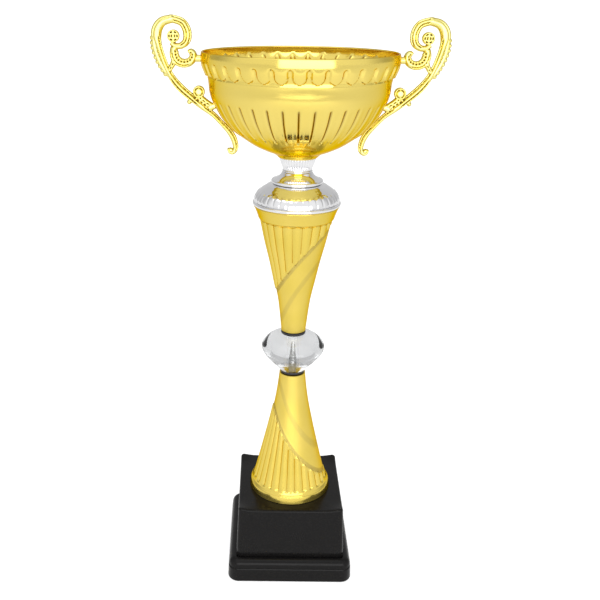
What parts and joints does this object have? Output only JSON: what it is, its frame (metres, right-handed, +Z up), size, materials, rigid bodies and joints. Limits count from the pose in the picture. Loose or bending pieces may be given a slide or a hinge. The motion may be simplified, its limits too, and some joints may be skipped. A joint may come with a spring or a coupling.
{
  "type": "cup trophy",
  "caption": "Gold two-handled cup on a chrome and gold tapered stem with a clear knop, bolted to a stepped black plinth.",
  "frame": {"origin": "on the floor under the middle of the plinth", "axes": "+Z up along the stem, X through the two handles, -Y towards the front"},
  "size_m": [0.211, 0.1404, 0.4408],
  "materials": {
    "felt": "pressed felt",
    "hardboard": "smooth pressed board",
    "ballast": "cast, rough",
    "black_plastic": "moulded gloss",
    "zinc_steel": "bright zinc plated",
    "white_plastic": "moulded, unfinished",
    "satin_gold": "gold metallised, satin with engraved bands",
    "black_rubber": "smooth",
    "clear_acrylic": "clear, polished",
    "bright_chrome": "mirror chrome",
    "polished_gold": "gold plated, polished",
    "cast_gold": "gold metallised, bright",
    "screw_brass": "plain"
  },
  "bodies": {
    "root": {"felt_sheet": "felt", "base_board": "hardboard", "ballast_block": "ballast", "plinth_shell": "black_plastic", "base_nut": "zinc_steel", "base_washer": "zinc_steel", "tie_rod": "zinc_steel", "lower_cone_disc": "white_plastic", "lower_cone": "satin_gold", "lower_gasket": "black_rubber", "knop": "clear_acrylic", "upper_gasket": "black_rubber", "upper_cone": "satin_gold", "upper_cone_disc": "white_plastic", "dome": "bright_chrome", "collar": "bright_chrome", "neck": "bright_chrome", "bowl": "polished_gold", "bowl_washer": "zinc_steel", "bowl_nut": "zinc_steel", "handle_left": "cast_gold", "handle_right": "cast_gold", "handle_screws": "screw_brass"}
  },
  "joints": []
}
